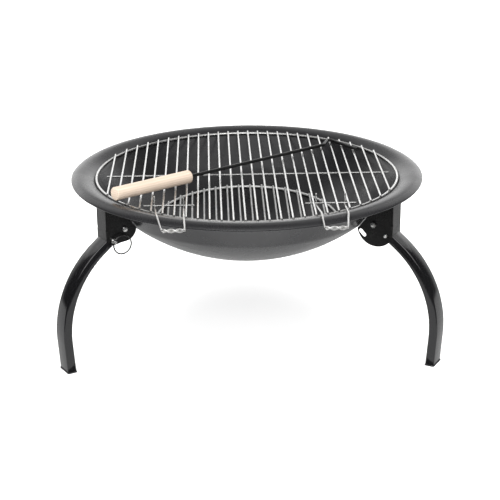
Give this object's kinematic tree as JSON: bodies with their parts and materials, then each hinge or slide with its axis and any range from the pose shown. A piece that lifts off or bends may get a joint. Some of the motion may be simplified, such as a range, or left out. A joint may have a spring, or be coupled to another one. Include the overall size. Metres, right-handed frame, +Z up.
{
  "type": "folding charcoal grill",
  "caption": "Round portable charcoal grill: steel fire bowl on three curved folding legs, wire cooking grate with swinging handles, charcoal grate and a wood-handled poker.",
  "frame": {"origin": "on the ground, at the middle of the whole outline seen from above", "axes": "+Z up, -Y towards the front where the two grate handles are, +X to the right seen from the front"},
  "size_m": [0.5996, 0.6215, 0.2929],
  "materials": {
    "bowl_enamel": "semi-gloss high-heat paint",
    "leg_gloss_black": "gloss paint",
    "chrome_wire": "bright plated wire",
    "zinc_fastener": "bright zinc plate",
    "foot_cap_plastic": "matte moulded",
    "poker_black": "satin paint",
    "poker_wood": "bare turned wood"
  },
  "bodies": {
    "fire_bowl": {"bowl": "bowl_enamel", "bracket_front_left": "leg_gloss_black", "pivot_bolt_front_left": "zinc_fastener", "pivot_nut_front_left": "zinc_fastener", "bracket_front_right": "leg_gloss_black", "pivot_bolt_front_right": "zinc_fastener", "pivot_nut_front_right": "zinc_fastener", "bracket_rear": "leg_gloss_black", "pivot_bolt_rear": "zinc_fastener", "pivot_nut_rear": "zinc_fastener"},
    "leg_assembly_front_left": {"leg_front_left": "leg_gloss_black", "foot_cap_front_left": "foot_cap_plastic"},
    "lock_pin_body_front_left": {"lock_pin_front_left": "zinc_fastener"},
    "pull_ring_body_front_left": {"pull_ring_front_left": "zinc_fastener"},
    "leg_assembly_front_right": {"leg_front_right": "leg_gloss_black", "foot_cap_front_right": "foot_cap_plastic"},
    "lock_pin_body_front_right": {"lock_pin_front_right": "zinc_fastener"},
    "pull_ring_body_front_right": {"pull_ring_front_right": "zinc_fastener"},
    "leg_assembly_rear": {"leg_rear": "leg_gloss_black", "foot_cap_rear": "foot_cap_plastic"},
    "lock_pin_body_rear": {"lock_pin_rear": "zinc_fastener"},
    "pull_ring_body_rear": {"pull_ring_rear": "zinc_fastener"},
    "cooking_grate_body": {"cooking_grate": "chrome_wire"},
    "grate_handle_left_body": {"grate_handle_left": "chrome_wire"},
    "grate_handle_right_body": {"grate_handle_right": "chrome_wire"},
    "charcoal_grate_body": {"charcoal_grate": "chrome_wire"},
    "poker": {"poker_rod": "poker_black", "poker_handle": "poker_wood"}
  },
  "joints": [
    {"name": "leg_fold_front_left", "type": "hinge", "parent": "fire_bowl", "child": "leg_assembly_front_left", "pos_m": [-0.19867, -0.1423, 0.2182], "axis": [0.5, -0.866, 0], "range_deg": [0, 88]},
    {"name": "lock_pin_pull_front_left", "type": "slide", "parent": "fire_bowl", "child": "lock_pin_body_front_left", "axis": [0.5, -0.866, 0], "range_m": [0, 0.045]},
    {"name": "pull_ring_swing_front_left", "type": "hinge", "parent": "lock_pin_body_front_left", "child": "pull_ring_body_front_left", "pos_m": [-0.20546, -0.17047, 0.20282], "axis": [-0.4199, -0.2424, -0.8746], "range_deg": [0, 150]},
    {"name": "leg_fold_front_right", "type": "hinge", "parent": "fire_bowl", "child": "leg_assembly_front_right", "pos_m": [0.19867, -0.1423, 0.2182], "axis": [0.5, 0.866, 0], "range_deg": [0, 88]},
    {"name": "lock_pin_pull_front_right", "type": "slide", "parent": "fire_bowl", "child": "lock_pin_body_front_right", "axis": [0.5, 0.866, 0], "range_m": [0, 0.045]},
    {"name": "pull_ring_swing_front_right", "type": "hinge", "parent": "lock_pin_body_front_right", "child": "pull_ring_body_front_right", "pos_m": [0.22646, -0.1341, 0.20282], "axis": [0.4199, -0.2424, -0.8746], "range_deg": [0, 150]},
    {"name": "leg_fold_rear", "type": "hinge", "parent": "fire_bowl", "child": "leg_assembly_rear", "pos_m": [0, 0.2018, 0.2182], "axis": [-1, 0, 0], "range_deg": [0, 88]},
    {"name": "lock_pin_pull_rear", "type": "slide", "parent": "fire_bowl", "child": "lock_pin_body_rear", "axis": [-1, 0, 0], "range_m": [0, 0.045]},
    {"name": "pull_ring_swing_rear", "type": "hinge", "parent": "lock_pin_body_rear", "child": "pull_ring_body_rear", "pos_m": [-0.021, 0.22177, 0.20282], "axis": [0, 0.4848, -0.8746], "range_deg": [0, 150]},
    {"name": "cooking_grate_lift", "type": "slide", "parent": "fire_bowl", "child": "cooking_grate_body", "axis": [0, 0, 1], "range_m": [0, 0.1]},
    {"name": "grate_handle_swing_left", "type": "hinge", "parent": "cooking_grate_body", "child": "grate_handle_left_body", "pos_m": [-0.1212, -0.1866, 0.2644], "axis": [-1, 0, 0], "range_deg": [0, 120]},
    {"name": "grate_handle_swing_right", "type": "hinge", "parent": "cooking_grate_body", "child": "grate_handle_right_body", "pos_m": [0.1212, -0.1866, 0.2644], "axis": [-1, 0, 0], "range_deg": [0, 150]},
    {"name": "charcoal_grate_lift", "type": "slide", "parent": "fire_bowl", "child": "charcoal_grate_body", "axis": [0, 0, 1], "range_m": [0, 0.06]},
    {"name": "poker_lift", "type": "slide", "parent": "cooking_grate_body", "child": "poker", "axis": [0, 0, 1], "range_m": [0, 0.1]}
  ]
}
